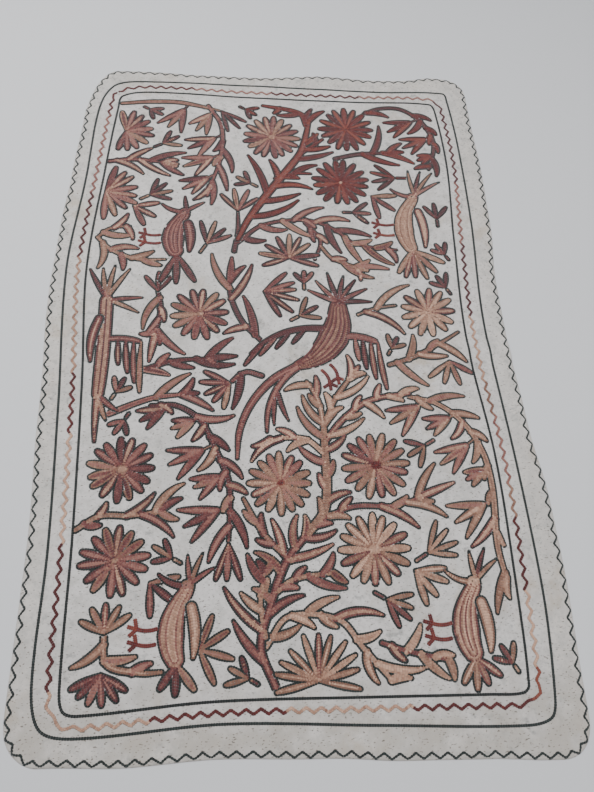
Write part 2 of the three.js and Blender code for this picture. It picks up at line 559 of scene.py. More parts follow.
# %% Draw the daisies
DAISIES = [
    # x, y, reach, petals, first and last angle, heart's radius, palette
    (-460, 710, 84, 10, 100, -105, 0, "rose"),
    (-30, 700, 86, 17, 0, 360, 11, "rose"),
    (200, 740, 88, 16, 0, 360, 0, "red"),
    (170, 530, 86, 16, 10, 370, 8, "red"),
    (-230, 80, 80, 14, 5, 365, 10, "rose"),
    (380, 90, 78, 13, 0, 360, 0, "salmon"),
    (-400, -340, 80, 15, 0, 360, 13, "rose"),
    (-400, -550, 78, 14, 8, 368, 9, "rose"),
    (-30, -380, 78, 16, 0, 360, 10, "tan"),
    (200, -340, 85, 16, 6, 366, 13, "tan"),
    (180, -540, 86, 16, 0, 360, 14, "salmon"),
]
HEART_YARNS = {"rose": "tan", "red": "tan", "tan": "deep_red", "salmon": "salmon"}
SMALLEST_HEART = 4
PETAL_WIDTH = 22
PETAL_TURN = (-3, 3)
PETAL_REACH = (0.94, 1.03)
PARTING = (0.3, 0.72)  # where a dark row between two petals starts and ends, as shares of the reach


def daisy(x, y, reach, petals, first, last, heart, palette):
    lobes = []
    steps = petals if abs(last - first) == 360 else petals - 1
    rim = max(heart, SMALLEST_HEART)
    for i in range(petals):
        heading = first + (last - first) * i / steps + draw.uniform(*PETAL_TURN)
        long = reach * draw.uniform(*PETAL_REACH)
        root = arc(x, y, heading, rim)[-1]
        petal = arc(*root, heading, long - rim)
        lobes.append(lobe("petal", [PETAL_WIDTH], petal, pick_yarns(palette)))
        if i % 2:
            line = arc(x, y, heading + (last - first) / steps / 2, reach)
            lobes.append({"parting": np.array([point_of(line, share) for share in PARTING])})
    if heart:
        yarns = (HEART_YARNS[palette],) * 3
        lobes.append(lobe("vine", [2 * heart], [(x - 1, y), (x + heart + 1, y)], yarns))
    return plan(lobes)


flowers = [daisy(*row) for row in DAISIES]
print(len(flowers), "daisies with", sum(len(flower) for flower in flowers), "strokes")

# %% Draw the fans
FANS = [
    # x, y, reach, lobes, first and last heading, width, palette
    (-500, 480, 96, 9, 75, -88, 21, "rose"),
    (-420, 430, 76, 3, 8, -66, 19, "rose"),
    (-180, 800, 92, 3, -30, -72, 15, "rose"),
    (-130, 420, 82, 4, 130, 42, 17, "rose"),
    (10, 260, 88, 9, 196, -16, 18, "rose"),
    (260, 480, 80, 3, 2, -76, 18, "rose"),
    (-340, 150, 64, 3, 130, 50, 16, "rose"),
    (-60, 150, 98, 6, 44, -58, 17, "rose"),
    (420, -60, 76, 4, 214, 325, 17, "tan"),
    (-150, -120, 76, 5, 150, 262, 18, "rose"),
    (-150, -520, 88, 3, 246, 292, 18, "rose"),
    (-320, -600, 72, 3, 10, -85, 18, "rose"),
    (-410, -700, 66, 5, 150, 36, 18, "tan"),
    (-410, -780, 68, 6, 200, 328, 19, "rose"),
    (-210, -740, 78, 4, 72, -62, 18, "rose"),
    (40, -810, 98, 11, 190, -8, 17, "salmon"),
    (270, -590, 82, 4, 2, -76, 19, "salmon"),
]
for x, y, reach, lobes, first, last, wide, palette in FANS:
    plan(strokes("petal", wide, x, y, reach, lobes, first, last, palette))
print(len(FANS), "fans")

# %% [markdown]
# ## Vines and their leaves
# The rest of the field is one winding growth. Each plant below is a few stems, and each stem names its
# yarns, its widths, how long its leaves are, the heading in which sprays hang from it, if any, and the
# few places that it passes. All stems are claimed first. Then leaves are tried along both sides of each
# stem in turn, shorter and more turned each time, until one fits between what is there.

# %% Lay the stems
PLANTS = {
    # yarns, widths, length of the leaves, heading of the sprays, places
    "upper left vine": [
        ("rose", (14, 18, 18, 12), 72, 238, "-480,820 -400,830 -300,830 -180,800"),
        ("rose", (16, 16, 12), 60, 208, "-220,820 -180,740 -180,620 -210,500"),
    ],
    "stem between daisies": [("rose", (16, 18, 11), 66, None, "-500,590 -430,600 -340,590")],
    "low stem at the left": [
        ("tan", (14, 16, 11), 62, None, "-510,320 -470,280 -400,250 -320,250"),
        ("tan", (14, 11), 60, None, "-510,320 -480,350 -420,360"),
    ],
    "red tree": [
        ("red", (17, 24, 26, 24, 19), 96, None, "-130,320 -100,390 -40,490 20,580 60,650 90,780"),
        ("red", (22, 19, 14), 45, None, "80,750 60,800 -60,830"),
        ("red", (17, 13), 45, None, "60,640 130,700"),
        ("red", (16, 12), 50, None, "-20,540 40,560 90,560"),
    ],
    "red branch": [("red", (17, 17, 13), 72, None, "160,620 230,640 330,650")],
    "upper vine": [
        ("rose", (17, 14, 12), 62, None, "-140,280 -130,350 -130,420"),
        ("rose", (16, 14, 14, 13, 12), 62, None, "-130,310 -60,370 60,390 140,360 200,310 320,290"),
        ("rose", (14, 12), 58, None, "60,380 100,320 80,250"),
        ("tan", (14, 14), 58, None, "100,300 130,260 200,230"),
    ],
    "upper right arch": [
        ("red", (14, 17, 17, 14), 60, 203, "250,800 310,830 380,830 440,780 470,690 440,580"),
    ],
    "stem at the tall bird": [("rose", (14, 17), 64, None, "-340,150 -330,100 -340,20")],
    "middle vine": [("rose", (14, 17, 16, 14), 76, None, "-70,0 -120,60 -150,140 -150,190")],
    "stem by the big bird": [("tan", (13, 13), 76, None, "190,80 240,100 300,110")],
    "right branch": [("tan", (16, 17, 14, 12), 62, None, "260,-70 320,-50 380,-20 460,30")],
    "left branch": [("rose", (19, 17, 14), 64, None, "-440,-200 -340,-160 -260,-150")],
    "dark branch": [("maroon", (18, 16, 12), 62, None, "-380,-90 -300,-60 -200,-50")],
    "hanging vine": [
        ("rose", (14, 17, 17, 16, 14), 58, 208,
         "-340,-180 -280,-180 -220,-220 -180,-300 -150,-380 -150,-520"),
    ],
    "vine under the big bird": [("rose", (17, 16), 60, None, "-70,-100 -110,-90 -150,-120")],
    "stem by the low daisies": [
        ("rose", (16, 17, 14), 58, None, "-490,-480 -440,-450 -370,-450 -300,-440"),
    ],
    "tree": [
        ("rose", (19, 20, 22, 24), 78, None, "-50,-820 -80,-740 -60,-660 -20,-560 30,-500"),
        ("tan", (24, 24, 22), 66, None, "30,-500 70,-450 80,-390 80,-300 80,-220"),
        ("tan", (16, 16, 13), 62, None, "60,-470 140,-440 240,-440 300,-420"),
        ("salmon", (18, 16), 66, None, "80,-240 110,-170 160,-100"),
        ("salmon", (19, 18), 62, None, "80,-280 130,-220 200,-170 310,-150"),
        ("salmon", (19, 14), 66, None, "80,-240 70,-170 40,-110"),
        ("salmon", (18, 14), 60, None, "80,-310 30,-270 -60,-270"),
        ("rose", (18, 14), 56, None, "-50,-630 0,-600 90,-590"),
        ("rose", (18, 14), 60, None, "-10,-560 -70,-500 -120,-410"),
        ("rose", (17, 13), 50, None, "-70,-720 -80,-650 -70,-580"),
    ],
    "right arch": [
        ("tan", (14, 17, 18, 19, 19), 58, 212,
         "300,-160 370,-180 430,-230 470,-310 480,-400 470,-540 480,-620"),
    ],
    "low left stem": [("tan", (17, 18, 14), 66, None, "-410,-700 -400,-760 -330,-780 -280,-780")],
    "bottom vine": [
        ("salmon", (16, 17, 17, 18), 68, None, "-70,-740 -20,-680 90,-690 140,-750 200,-820"),
        ("salmon", (14, 17), 66, None, "180,-740 240,-760 330,-780"),
    ],
}
stems = []
for rows in PLANTS.values():
    plant = plan([lobe("stem", widths, places_in(places), pick_yarns(palette))
                  for palette, widths, long, hangs, places in rows])
    stems += [(plant, len(groups), stem) + row for stem, row in zip(list(plant), rows)]
print(len(stems), "stems in", len(PLANTS), "plants")

# %% Fit leaves and sprays along the stems
LEAF_WIDTH = 21
LEAF_STRETCH = 1.45  # how much longer the first try is than the table says
LEAF_EVERY = 32  # from a leaf on one side of a stem to the next on the other
FIRST_LEAF = 0.7  # how far along a stem its first leaf is, as a share of that step
LEAF_LEAN = 34  # degrees between a leaf and its stem
LEAF_BEND = (18, 52)
END_LEANS = (0.01, 1, -1)  # the sides to which the leaves at a stem's end turn
END_LEAN = 30
LEAF_SIZES = (1.15, 1, 0.86, 0.72, 0.6, 0.48)
LEAF_TURNS = (0, 14, -12, 30)
SPRAY_EVERY = 78
FIRST_SPRAY = 0.6
SPRAY_LENGTH = 92
SPRAY_STALK = 0.42  # the stalk's share of the length
STALK_WIDTHS = [10, 9]
SPRAY_SPREAD = 26  # degrees to each side
SPRAY_TURN = (-6, 6)


def fitted_leaf(x, y, heading, long, side, palette, plant):
    """The longest leaf that fits at a place, or nothing."""
    yarns = pick_yarns(palette)
    bend = draw.uniform(*LEAF_BEND) * side
    for size in LEAF_SIZES:
        for turn in LEAF_TURNS:
            for curve in (-bend, bend):
                places = arc(x, y, heading + side * turn - curve / 4, long * size * LEAF_STRETCH, curve)
                form = lobe("leaf", [LEAF_WIDTH], places, yarns)
                if has_room(form, plant):
                    return form
    return None


def fitted_spray(x, y, heading, palette, plant):
    """A short stalk with three leaves like a bird's foot, as large as fits."""
    for size in LEAF_SIZES[1:]:
        places = arc(x, y, heading, SPRAY_STALK * SPRAY_LENGTH * size)
        stalk = lobe("vine", STALK_WIDTHS, places, pick_yarns(palette))
        leaves = strokes("leaf", LEAF_WIDTH, *stalk["path"][-1], SPRAY_LENGTH * size, 3,
                         heading - SPRAY_SPREAD, heading + SPRAY_SPREAD, palette)
        if all(has_room(leaf, plant) for leaf in leaves):
            return [stalk] + leaves
    return []


def add_to(plant, number, forms):
    for form in forms:
        plant.append(form)
        claim(form, number)


def heading_at(path, i):
    ahead = path[min(i + 3, len(path) - 1)] - path[max(i - 3, 0)]
    return math.degrees(math.atan2(ahead[1], ahead[0]))


for plant, number, stem, palette, widths, long, hangs, places in stems:
    if hangs is None:
        continue
    along = lengths_along(stem["path"])
    for stop in np.arange(SPRAY_EVERY * FIRST_SPRAY, along[-1], SPRAY_EVERY):
        spot = stem["path"][int(np.searchsorted(along, stop))]
        heading = hangs + draw.uniform(*SPRAY_TURN)
        add_to(plant, number, fitted_spray(*spot, heading, palette, number))
print("stitched forms with the sprays:", sum(len(group) for group in groups))

# %% Fit the leaves
for plant, number, stem, palette, widths, long, hangs, places in stems:
    path = stem["path"]
    along = lengths_along(path)
    for k, stop in enumerate(np.arange(LEAF_EVERY * FIRST_LEAF, along[-1], LEAF_EVERY)):
        i = min(int(np.searchsorted(along, stop)), len(path) - 1)
        side = 1 if k % 2 else -1
        heading = heading_at(path, i) + side * LEAF_LEAN
        leaf = fitted_leaf(*path[i], heading, long, side, palette, number)
        add_to(plant, number, [leaf] if leaf else [])
    for side in END_LEANS:
        heading = heading_at(path, len(path) - 1) + side * END_LEAN
        leaf = fitted_leaf(*path[-1], heading, long, side, palette, number)
        add_to(plant, number, [leaf] if leaf else [])
print("stitched forms with the leaves:", sum(len(group) for group in groups))

# %% [markdown]
# Where a patch of felt is still bare, the maker fills it with a loose bell flower: a short stalk and
# three or four petals. The search goes over the field for large patches first and then for smaller
# ones, and each flower claims its room before the next is tried.

# %% Fill the bare patches with bell flowers
PATCH_STEP = 12
BELL_LENGTHS = (112, 98, 86, 74, 64)  # from the foot of its stalk to the tips of its petals
BELL_TURNS = range(0, 360, 30)
BELL_STALK = 0.3  # the stalk's share of the length
BELL_SPREAD = 40  # degrees to each side
BELL_WIDTH = 16
BELL_STALK_WIDTH = 12
FOUR_PETALS_FROM = 90  # a longer bell has four petals, and a shorter one three
PATCH_SHARE = 0.27  # the radius of bare felt that a bell needs before it is tried, as a share of its length
PATCHES_ACROSS = (-480, 480)
REGIONS = [
    # a part of the field that has yarns of its own: its left end, its low and high end, and its palette
    (-100, 450, 999, "red"),
    (-20, -450, 120, "tan"),
    (-20, -999, -450, "salmon"),
]


def bell(x, y, heading, long, palette):
    """A bell flower whose middle lies at a place."""
    foot = arc(x, y, heading + 180, long / 2)[-1]
    stalk = arc(*foot, heading, long * BELL_STALK)
    petals = 4 if long > FOUR_PETALS_FROM else 3
    return [lobe("vine", [BELL_STALK_WIDTH], stalk, pick_yarns(palette))] + strokes(
        "petal", BELL_WIDTH, *stalk[-1], long * (1 - BELL_STALK), petals,
        heading - BELL_SPREAD, heading + BELL_SPREAD, palette)


def palette_at(x, y):
    """The yarns that this part of the field is worked in."""
    for left, low, high, palette in REGIONS:
        if x > left and low < y < high:
            return palette
    return "rose"


def bare(x, y, radius):
    place, away = window_at(x, y, radius)
    return not claimed[place][away < radius].any()


bells = 0
for long in BELL_LENGTHS:
    for y in range(-END_OF_FIELD, END_OF_FIELD, PATCH_STEP):
        for x in range(*PATCHES_ACROSS, PATCH_STEP):
            if not bare(x, y, long * PATCH_SHARE):
                continue
            first_turn = draw.randrange(0, 360, 30)
            for turn in BELL_TURNS:
                flower = bell(x, y, first_turn + turn, long, palette_at(x, y))
                if all(has_room(form, len(groups) + 1) for form in flower):
                    plan(flower)
                    bells += 1
                    break
print(bells, "bell flowers,", sum(len(group) for group in groups), "strokes in all")

# %% [markdown]
# ## Rows of stitches
# Chain stitch fills a form in rows that follow its outline. First comes one dark row just inside the
# outline, then rows of coloured yarn, each beside the last. Where lobes grow into each other, only the
# outside of the whole group is outlined, and the grid says where that is.

# %% Enter a group of lobes in the grid
OUTLINE_WIDTH = 4.2
OUTLINE_PITCH = 5.4
ROW_WIDTH = 4.4  # from one filling row to the next
LINK_PITCH = 6.1
CLEARANCE = 1.2  # bare felt between one group and the next
EDGE_REACH = 1.1  # how much deeper than the outline's middle a cell may lie and still be at the edge
PARTING_WIDTH = OUTLINE_WIDTH * 0.8
FILL_FROM = 0.85  # the depth at which filling starts, as a share of the outline's width
ROW_DRIFT = 0.16  # how far a row's shade strays from its yarn's, and a stitch's from its row's
LINK_DRIFT = 0.13


def mark_depth(form, number):
    """Enters how deep each cell lies inside a lobe, where it lies deeper than in the others."""
    ahead = np.gradient(form["path"], axis=0)
    for (x, y), half, (dx, dy) in zip(form["path"], form["half"], ahead):
        place, away = window_at(x, y, half)
        inside = half - away
        deeper = inside > depth[place]
        depth[place][deeper] = inside[deeper]
        owner[place][deeper] = number
        heading_in[place][deeper] = math.atan2(dy, dx)


print("a petal takes about", round((PETAL_WIDTH * FULLNESS - 2 * OUTLINE_WIDTH) / ROW_WIDTH), "filling rows")

# %% Turn a lobe into rows
links = {family: [] for family in ("dark_green", "red", "rose", "tan")}


def round_end(middle, arm, radius):
    """A half circle from one side of an end of a lobe to the other."""
    angles = np.linspace(0, -math.pi, 7)[1:-1]
    turn = math.atan2(arm[1], arm[0])
    return [middle + radius * np.array((math.cos(turn + a), math.sin(turn + a))) for a in angles]


def ring(form, reach):
    """The closed row that runs round a lobe at a reach from its curve."""
    path = form["path"]
    sides = side_directions(path)
    left = path + sides * reach[:, None]
    right = path - sides * reach[:, None]
    tip = round_end(path[-1], sides[-1], reach[-1])
    base = round_end(path[0], -sides[0], reach[0])
    return np.vstack([left, tip, right[::-1], base, left[:1]])


def spaced(row, pitch):
    """Places a stitch apart along a row, and the row's direction at each."""
    along = lengths_along(row)
    count = max(1, round(along[-1] / pitch))
    stops = (np.arange(count) + draw.uniform(0.2, 0.8)) * along[-1] / count
    places = np.stack([np.interp(stops, along, row[:, axis]) for axis in (0, 1)], axis=1)
    before = np.stack([np.interp(stops - pitch / 2, along, row[:, axis]) for axis in (0, 1)], axis=1)
    after = np.stack([np.interp(stops + pitch / 2, along, row[:, axis]) for axis in (0, 1)], axis=1)
    headings = np.arctan2(*(after - before).T[::-1])
    return places, headings


def add_links(yarn, places, headings, wide, long, free=None):
    """Keeps the stitches of a row that fall on free felt."""
    family, shade = YARNS[yarn]
    drift = draw.gauss(0, ROW_DRIFT)
    rows, columns = cell_of(places)
    for i in range(len(places)):
        r, c = rows[i], columns[i]
        if free is not None and (not free[i] or stitched[r, c]):
            continue
        stitched[r - 1:r + 2, c - 1:c + 2] = True
        tint = min(1, max(0, shade + drift + draw.gauss(0, LINK_DRIFT)))
        links[family].append((places[i][0], places[i][1], headings[i], wide, long, tint))


def outline_lobe(form):
    places, headings = spaced(ring(form, form["half"] - OUTLINE_WIDTH / 2), OUTLINE_PITCH)
    at = cell_of(places)
    outside = depth[at] < OUTLINE_WIDTH / 2 + EDGE_REACH
    add_links("outline", places, headings, OUTLINE_WIDTH, OUTLINE_PITCH, outside & ~covered[at])


def fill_lobe(form, number):
    inner = form["half"] - OUTLINE_WIDTH
    rows = max(1, round(2 * float(inner.max()) / ROW_WIDTH))
    for k in range((rows + 1) // 2):
        share = 1 - (2 * k + 1) / rows
        middle_row = share <= 0
        row = form["path"] if middle_row else ring(form, np.maximum(inner, 0.2) * share)
        yarn = form["yarns"][k % 3]
        places, headings = spaced(row, LINK_PITCH)
        at = cell_of(places)
        own = (owner[at] == number) & (depth[at] > OUTLINE_WIDTH * FILL_FROM)
        add_links(yarn, places, headings, ROW_WIDTH, LINK_PITCH, own & ~covered[at])


def fill_holes(lobes):
    """Works single stitches where rows that meet at an angle have left bare felt."""
    bare = (depth > OUTLINE_WIDTH) & ~stitched & ~covered
    for axis in (0, 1):
        bare &= np.roll(bare, 1, axis) & np.roll(bare, -1, axis)
    for r, c in np.argwhere(bare):
        if stitched[r - 1:r + 2, c - 1:c + 2].any():
            continue
        place = (np.array([[c + 0.5, r + 0.5]]) * CELL) - (GRID_HALF_X, GRID_HALF_Y)
        yarn = lobes[owner[r, c]]["yarns"][1]
        add_links(yarn, place, [heading_in[r, c]], ROW_WIDTH, LINK_PITCH)


def work_row(yarn, row, pitch, wide):
    places, headings = spaced(row, pitch)
    add_links(yarn, places, headings, wide, pitch, ~covered[cell_of(places)])


def work_group(lobes):
    """Stitches one connected drawing and keeps what comes later off it."""
    depth[:] = NO_DEPTH
    owner[:] = NO_OWNER
    partings = [form["parting"] for form in lobes if "parting" in form]
    lobes = [form for form in lobes if "parting" not in form]
    for number, form in enumerate(lobes):
        mark_depth(form, number)
    for form in lobes:
        outline_lobe(form)
    for path in partings:
        work_row("outline", path, OUTLINE_PITCH, PARTING_WIDTH)
    for number, form in enumerate(lobes):
        fill_lobe(form, number)
    fill_holes(lobes)
    np.logical_or(covered, depth > -CLEARANCE, out=covered)


print(len(groups), "drawings are ready to be stitched")

# %% Stitch the field
FOOT_PITCH = 4.2
FOOT_WIDTH = 7.5
TOE_SPREAD = (-62, 0, 58)  # degrees from the leg's end
EYE_TURN = 0.4
EYE_WIDTH = 4.4
EYE_LENGTH = 4.6
for eye in eyes:
    add_links("outline", np.array([eye], float), np.array([EYE_TURN]), EYE_WIDTH, EYE_LENGTH)
for group in groups:
    work_group(group)
for places in legs:
    leg = smooth_path(places)
    work_row("red", leg, FOOT_PITCH, FOOT_WIDTH)
    for spread in TOE_SPREAD:
        toe = arc(*leg[-1], heading_at(leg, len(leg) - 1) + spread, TOE_LENGTH)
        work_row("red", smooth_path(toe), FOOT_PITCH, FOOT_WIDTH)
print({family: len(rows) for family, rows in links.items()}, "stitches in the field")

# %% [markdown]
# ## The lines and the zigzag between them
# Each dark line is one row of stitches. A zigzag runs between them in yarn that changes colour where
# the stitcher ran out. It follows the inner line at a fixed distance.

# %% Work the two dark lines
LINE_PITCH = 5.4
LINE_WIDTH = 5.2
for line in (inner_line, outer_line):
    row, headings = spaced(np.vstack([line, line[:1]]), LINE_PITCH)
    add_links("outline", row, headings, LINE_WIDTH, LINE_PITCH)
print(len(links["dark_green"]), "dark stitches with the lines")

# %% Work the two-colour zigzag between the lines
ZIGZAG_WIDTH = 5.6
ZIGZAG_PERIOD = 31
ZIGZAG_HEIGHT = 5  # to each side of its middle
ZIGZAG_OUT = 22  # from the inner line
ZIGZAG_PITCH = 5.0
ZIGZAG_STARTS = [
    # where each yarn starts, from the top left corner anticlockwise
    (-500, 872, "deep_red"), (-518, 770, "rose"), (-545, 470, "deep_red"), (-555, 250, "salmon"),
    (-535, -95, "deep_red"), (-522, -250, "salmon"), (-520, -510, "deep_red"), (-515, -815, "salmon"),
    (-310, -865, "deep_red"), (-30, -860, "salmon"), (235, -873, "deep_red"), (500, -880, "rust"),
    (510, -800, "salmon"), (518, -640, "deep_red"), (526, -470, "brown"), (510, -385, "rose"),
    (505, -215, "brown"), (505, -120, "salmon"), (497, 80, "maroon"), (510, 320, "rose"),
    (515, 540, "maroon"), (495, 877, "rose"), (250, 875, "deep_red"), (-30, 880, "rose"),
    (-270, 885, "deep_red"),
]


def zigzag_row(path, out, period, height):
    """A row that swings to both sides of a path, which runs anticlockwise."""
    closed = np.vstack([path, path[:1]])
    along = lengths_along(closed)
    count = round(along[-1] / (period / 4))
    count -= count % 4
    stops = np.linspace(0, along[-1], count + 1)
    middle = np.stack([np.interp(stops, along, closed[:, axis]) for axis in (0, 1)], axis=1)
    outward = -side_directions(middle)
    swing = np.array([0, 1, 0, -1])[np.arange(count + 1) % 4] * height
    return middle + outward * (out + swing)[:, None]


def work_zigzag(row, starts, pitch, wide):
    places, headings = spaced(row, pitch)
    numbers = [int(np.argmin(np.hypot(*(places - (x, y)).T))) for x, y, yarn in starts]
    numbers[0] = 0
    for first, last, (x, y, yarn) in zip(numbers, numbers[1:] + [len(places)], starts):
        add_links(yarn, places[first:last], headings[first:last], wide, pitch)


zigzag = zigzag_row(inner_line, ZIGZAG_OUT, ZIGZAG_PERIOD, ZIGZAG_HEIGHT)
work_zigzag(zigzag, ZIGZAG_STARTS, ZIGZAG_PITCH, ZIGZAG_WIDTH)
print("stitches with the zigzag:", {family: len(rows) for family, rows in links.items()})

# %% [markdown]
# ## The felt
# Felt is a mat of matted fibres: it swells and thins a little everywhere, and its edge is uneven. The
# fixed sheet is too coarse to show that, so a copy of it is merged, divided more finely where its faces
# are large, rounded by one subdivision, and displaced by soft lumps.

# %% Copy the sheet and divide it
COARSE_EDGE = 20 * MM
FIELD_CUTS = 3
SAME_POINT = 0.02 * MM
QUAD_ANGLE = math.radians(60)  # how unlike two triangles may be that become one square
FACES_UP = 0.5  # the least upward part of the normal of a face of the top


def pick(thing):
    for other in bpy.context.selected_objects:
        other.select_set(False)
    thing.select_set(True)
    bpy.context.view_layer.objects.active = thing


def apply_modifier(thing, kind, **settings):
    modifier = thing.modifiers.new(kind.lower(), kind)
    for name, value in settings.items():
        setattr(modifier, name, value)
    pick(thing)
    bpy.ops.object.modifier_apply(modifier=modifier.name)


def edit_mesh(thing):
    pick(thing)
    bpy.ops.object.mode_set(mode="EDIT")
    bpy.ops.mesh.select_mode(type="EDGE")
    bpy.ops.mesh.select_all(action="SELECT")


felt = bpy.data.objects.new("felt_sheet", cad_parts["felt_ground"].data.copy())
bpy.context.scene.collection.objects.link(felt)
felt.data.materials.clear()
edit_mesh(felt)
bpy.ops.mesh.remove_doubles(threshold=SAME_POINT)
bpy.ops.mesh.tris_convert_to_quads(face_threshold=QUAD_ANGLE, shape_threshold=QUAD_ANGLE)
bpy.ops.mesh.select_all(action="DESELECT")
field = bmesh.from_edit_mesh(felt.data)
for edge in field.edges:
    up = all(face.normal.z > FACES_UP for face in edge.link_faces)
    edge.select_set(up and edge.calc_length() > COARSE_EDGE)
bmesh.update_edit_mesh(felt.data)
bpy.ops.mesh.subdivide(number_cuts=FIELD_CUTS)
bpy.ops.object.mode_set(mode="OBJECT")
print("the divided sheet has", len(felt.data.polygons), "faces")

# %% [markdown]
# The lumps come from cloud textures that displace the points along their normals. Only the top moves:
# the underside stays on the floor.

# %% Round and roughen the felt
LUMPS = [
    # size of the lumps and how far they stand, in millimetres
    (70, 0.9),
    (22, 0.7),
]
UNDERSIDE_LEVEL = 0.6 * MM
FULL_LEVEL = 3 * MM  # so far above the underside the lumps stand at their full height
TOP_NORMAL = 0.3
SMOOTH_ANGLE = math.radians(60)


def raise_lumps(thing, size, stand):
    clouds = bpy.data.textures.new("felt_lumps", "CLOUDS")
    clouds.noise_scale = size * MM
    apply_modifier(thing, "DISPLACE", texture=clouds, strength=stand * MM, mid_level=0.5, direction="Z",
                   texture_coords="LOCAL", vertex_group="top")


apply_modifier(felt, "SUBSURF", levels=1, render_levels=1, boundary_smooth="PRESERVE_CORNERS")
top = felt.vertex_groups.new(name="top")
for vertex in felt.data.vertices:
    if vertex.normal.z > TOP_NORMAL and vertex.co.z > UNDERSIDE_LEVEL:
        top.add([vertex.index], min(1, (vertex.co.z - UNDERSIDE_LEVEL) / FULL_LEVEL), "REPLACE")
for size, stand in LUMPS:
    raise_lumps(felt, size, stand)
pick(felt)
bpy.ops.object.shade_smooth_by_angle(angle=SMOOTH_ANGLE)
triangles = sum(len(face.vertices) - 2 for face in felt.data.polygons)
print("the felt has", triangles, "triangles")

# %% [markdown]
# Every stitch pulls the felt down, so the bare felt stands a little proud between the flowers. The grid
# knows what is stitched, so the felt's top sinks there, softly over a few millimetres.

# %% Sink the felt under the stitches
SINK = 0.7 * MM
SOFT_CELLS = 3


def soften(field, reach):
    """Averages each cell with its neighbours up to a reach away, along each axis in turn."""
    for axis in (0, 1):
        field = sum(np.roll(field, shift, axis) for shift in range(-reach, reach + 1)) / (2 * reach + 1)
    return field


stitched_share = soften(stitched.astype(np.float32), SOFT_CELLS)
points = np.empty(len(felt.data.vertices) * 3, np.float32)
felt.data.vertices.foreach_get("co", points)
points = points.reshape(-1, 3)
weights = np.zeros(len(points), np.float32)
for vertex in felt.data.vertices:
    weights[vertex.index] = vertex.groups[0].weight if vertex.groups else 0
points[:, 2] -= SINK * weights * stitched_share[cell_of(points[:, :2] / MM)]
felt.data.vertices.foreach_set("co", points.reshape(-1))
felt.vertex_groups.clear()
felt.data.update()
print("the felt sinks by up to", SINK / MM, "mm")

# %% [markdown]
# The dark zigzag along the edge follows the felt's own outline, so that outline is found on the mesh:
# it is where a face that looks down meets one that doesn't.

# %% Work the zigzag along the felt's edge
EDGE_PERIOD = 33
EDGE_HEIGHT = 5.5
EDGE_IN = 9.0  # from the felt's edge to the middle of the zigzag
EDGE_PITCH = 5.5
EDGE_YARN_WIDTH = 4.1
EDGE_STARTS = [(-620, 0, "outline")]


def felt_outline():
    """The points round the sheet, in millimetres and anticlockwise."""
    mesh = bmesh.new()
    mesh.from_mesh(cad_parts["felt_ground"].data)
    bmesh.ops.remove_doubles(mesh, verts=mesh.verts, dist=SAME_POINT)
    rim = [edge for edge in mesh.edges
           if sum(face.normal.z < -FACES_UP for face in edge.link_faces) == 1]
    after = {}
    for edge in rim:
        face = next(face for face in edge.link_faces if face.normal.z < -FACES_UP)
        loop = next(loop for loop in face.loops if loop.edge == edge)
        after[loop.link_loop_next.vert] = loop.vert
    start = here = next(iter(after))
    outline = []
    while True:
        outline.append((here.co.x / MM, here.co.y / MM))
        here = after[here]
        if here == start:
            break
    mesh.free()
    return np.array(outline)


rim_path = smooth_path(felt_outline(), closed=True)
edge_row = zigzag_row(rim_path, -EDGE_IN, EDGE_PERIOD, EDGE_HEIGHT)
work_zigzag(edge_row, EDGE_STARTS, EDGE_PITCH, EDGE_YARN_WIDTH)
print("the felt is", round(lengths_along(rim_path)[-1] / 1000, 2), "m round")

# %% [markdown]
# ## One stitch, many times
# A link of chain stitch is a loop of yarn: two strands leave the hole of the last stitch side by side,
# swell apart and come together again. One link is modelled as two slim spindles. With fifty thousand
# of them, it may have only a few faces, so each spindle is a cone of four sides whose base is drawn
# out into a second point.

# %% Model one link
LINK_OVERLAP = 2.2  # the strands' length as a share of the pitch
STRAND_THICK = 0.88  # as a share of the link's width
STRAND_ASIDE = 0.27  # how far the strand lies from the link's middle, and at its start and its end
START_ASIDE = 0.1
END_ASIDE = 0.24
END_LEVEL = -0.12


def model_link():
    """Two closed strands in a V, one unit long and one unit wide, with their middle on the origin."""
    bpy.ops.mesh.primitive_cone_add(vertices=4, radius1=0.5, depth=0.5, end_fill_type="TRIFAN",
                                    location=(0, 0, 0.25))
    link = bpy.context.object
    bpy.ops.object.transform_apply(location=True)
    bpy.ops.object.mode_set(mode="EDIT")
    strand = bmesh.from_edit_mesh(link.data)
    for vertex in strand.verts:
        if math.hypot(vertex.co.x, vertex.co.y) < 0.1 and vertex.co.z < 0.1:
            vertex.co.z = -0.5
    bpy.ops.mesh.select_all(action="SELECT")
    bpy.ops.transform.rotate(value=math.pi / 2, orient_axis="Y", center_override=(0, 0, 0))
    bpy.ops.transform.resize(value=(LINK_OVERLAP, STRAND_THICK, 1))
    bpy.ops.transform.translate(value=(0, STRAND_ASIDE, 0))
    for vertex in strand.verts:
        if abs(vertex.co.x) > 0.3:
            vertex.co.y = START_ASIDE if vertex.co.x < 0 else END_ASIDE
            vertex.co.z = END_LEVEL
    bmesh.update_edit_mesh(link.data)
    bpy.ops.mesh.duplicate()
    bpy.ops.transform.resize(value=(1, -1, 1), center_override=(0, 0, 0))
    bpy.ops.mesh.flip_normals()
    bpy.ops.mesh.select_all(action="SELECT")
    bpy.ops.mesh.quads_convert_to_tris()
    bpy.ops.mesh.normals_make_consistent(inside=False)
    bpy.ops.object.mode_set(mode="OBJECT")
    return link


link = model_link()
link_points = np.array([vertex.co for vertex in link.data.vertices])
link_faces = np.array([face.vertices for face in link.data.polygons])
link_down = np.array([face.normal.z < 0 for face in link.data.polygons])
bpy.data.objects.remove(link)
link_count = sum(len(rows) for rows in links.values())
print("one link has", len(link_faces), "triangles, and all have", len(link_faces) * link_count)

